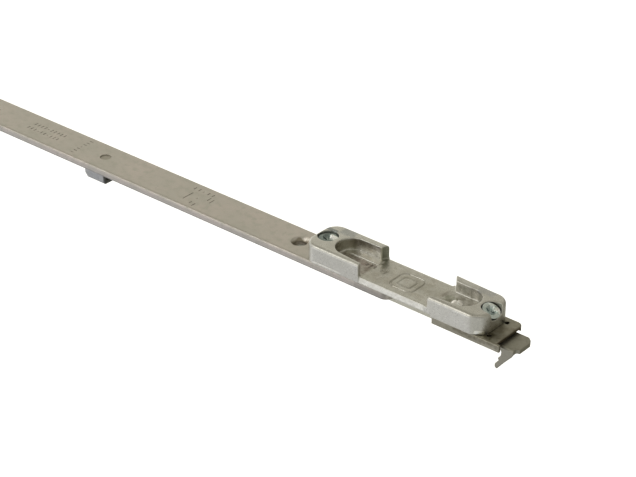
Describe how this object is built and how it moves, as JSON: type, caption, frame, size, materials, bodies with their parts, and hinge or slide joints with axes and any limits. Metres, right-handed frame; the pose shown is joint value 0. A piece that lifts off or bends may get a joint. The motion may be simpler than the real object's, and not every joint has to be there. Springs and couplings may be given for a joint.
{
  "type": "window espagnolette",
  "caption": "Lever espagnolette for the inactive leaf of a double window: faceplate with a two-pocket striker, hooked drive rods, a rack and pinion gear case and a fold-down lever.",
  "frame": {"origin": "midway between the two fixing holes beside the gear case, on the underside of the faceplate", "axes": "+X along the faceplate towards the striker, +Y across it, +Z out of the sash groove"},
  "size_m": [0.4345, 0.017, 0.0317],
  "materials": {
    "faceplate_steel": "zinc-plated steel, satin, slightly warm",
    "striker_zinc": "die-cast zinc, satin, bright on its worn edges",
    "screw_dark": "blue-passivated steel",
    "screw_bright": "bright zinc-plated steel",
    "sleeve_steel": "zinc-plated steel, satin",
    "block_zinc": "die-cast zinc, dull",
    "rivet_steel": "plated steel, satin",
    "case_steel": "zinc-plated sheet steel",
    "housing_zinc": "die-cast zinc, satin",
    "lever_zinc": "die-cast zinc, satin",
    "catch_plastic": "black plastic",
    "gear_steel": "pressed steel, oiled",
    "rod_steel": "zinc-plated steel, satin"
  },
  "bodies": {
    "frame": {"faceplate": "faceplate_steel", "striker": "striker_zinc", "striker_screw_left": "screw_dark", "striker_screw_right": "screw_bright", "guide_stud": "screw_bright", "end_sleeve": "sleeve_steel", "guide_block_right": "block_zinc", "guide_block_left": "block_zinc", "guide_rivets": "rivet_steel", "case_plate_front": "case_steel", "case_plate_rear": "case_steel", "case_floor": "case_steel", "case_spacers": "rivet_steel", "lever_housing": "housing_zinc", "housing_screws": "screw_bright", "lever_axle": "rivet_steel", "lever_catch": "catch_plastic", "pinion_axle": "rivet_steel"},
    "lever": {"lever": "lever_zinc"},
    "right_drive": {"right_rack": "gear_steel", "right_drive_rod": "rod_steel", "right_rack_rivets": "rivet_steel"},
    "left_drive": {"left_rack": "gear_steel", "left_drive_rod": "rod_steel", "left_rack_rivets": "rivet_steel"},
    "pinion": {"reversing_pinion": "gear_steel"}
  },
  "joints": [
    {"name": "lever_hinge", "type": "hinge", "parent": "frame", "child": "lever", "pos_m": [0.004, 0, 0.0006], "axis": [0, 1, 0], "range_deg": [0, 150]},
    {"name": "right_rod_slide", "type": "slide", "parent": "frame", "child": "right_drive", "axis": [1, 0, 0], "range_m": [-0.01833, 0]},
    {"name": "left_rod_slide", "type": "slide", "parent": "frame", "child": "left_drive", "axis": [1, 0, 0], "range_m": [0, 0.01833]},
    {"name": "pinion_spin", "type": "hinge", "parent": "frame", "child": "pinion", "pos_m": [0.004, 0, -0.01395], "axis": [0, 1, 0], "range_deg": [-264, 0]}
  ],
  "couplings": [
    {"joint": "right_rod_slide", "follows": "lever_hinge", "m_per_rad": -0.007},
    {"joint": "left_rod_slide", "follows": "lever_hinge", "m_per_rad": 0.007},
    {"joint": "pinion_spin", "follows": "lever_hinge", "ratio": -1.75}
  ]
}
